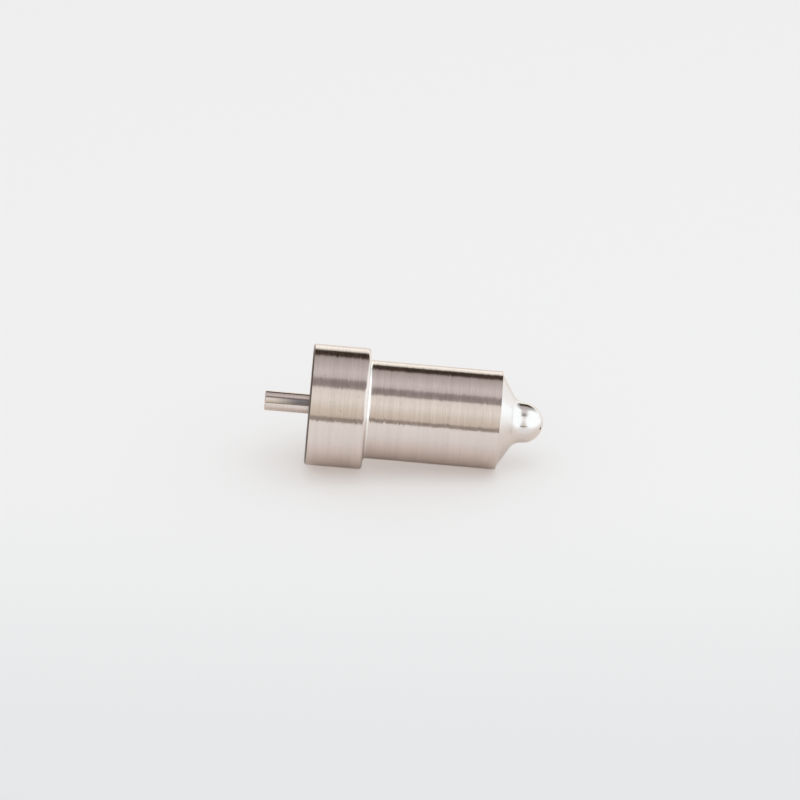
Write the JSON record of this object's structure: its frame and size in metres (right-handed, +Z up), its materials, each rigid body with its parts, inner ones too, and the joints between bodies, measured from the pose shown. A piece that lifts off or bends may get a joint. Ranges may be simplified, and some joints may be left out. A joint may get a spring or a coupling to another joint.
{
  "type": "diesel injection nozzle",
  "caption": "Hole-type fuel injection nozzle: a ground steel body with a collar, a shank and a domed spray tip, and a lapped needle valve whose tail stands out of the top face.",
  "frame": {"origin": "centre of the lapped top face, on the bore axis", "axes": "+X along the bore axis towards the spray tip, +Z up through the first dowel hole"},
  "size_m": [0.0391, 0.017, 0.017],
  "materials": {
    "ground_steel": "ground and turned, bare hardened steel",
    "lapped_steel": "lapped, near-mirror hardened steel"
  },
  "bodies": {
    "body": {"nozzle_body": "ground_steel"},
    "needle": {"needle_valve": "lapped_steel"}
  },
  "joints": [
    {"name": "needle_lift", "type": "slide", "parent": "body", "child": "needle", "axis": [-1, 0, 0], "range_m": [0, 0.013]}
  ]
}
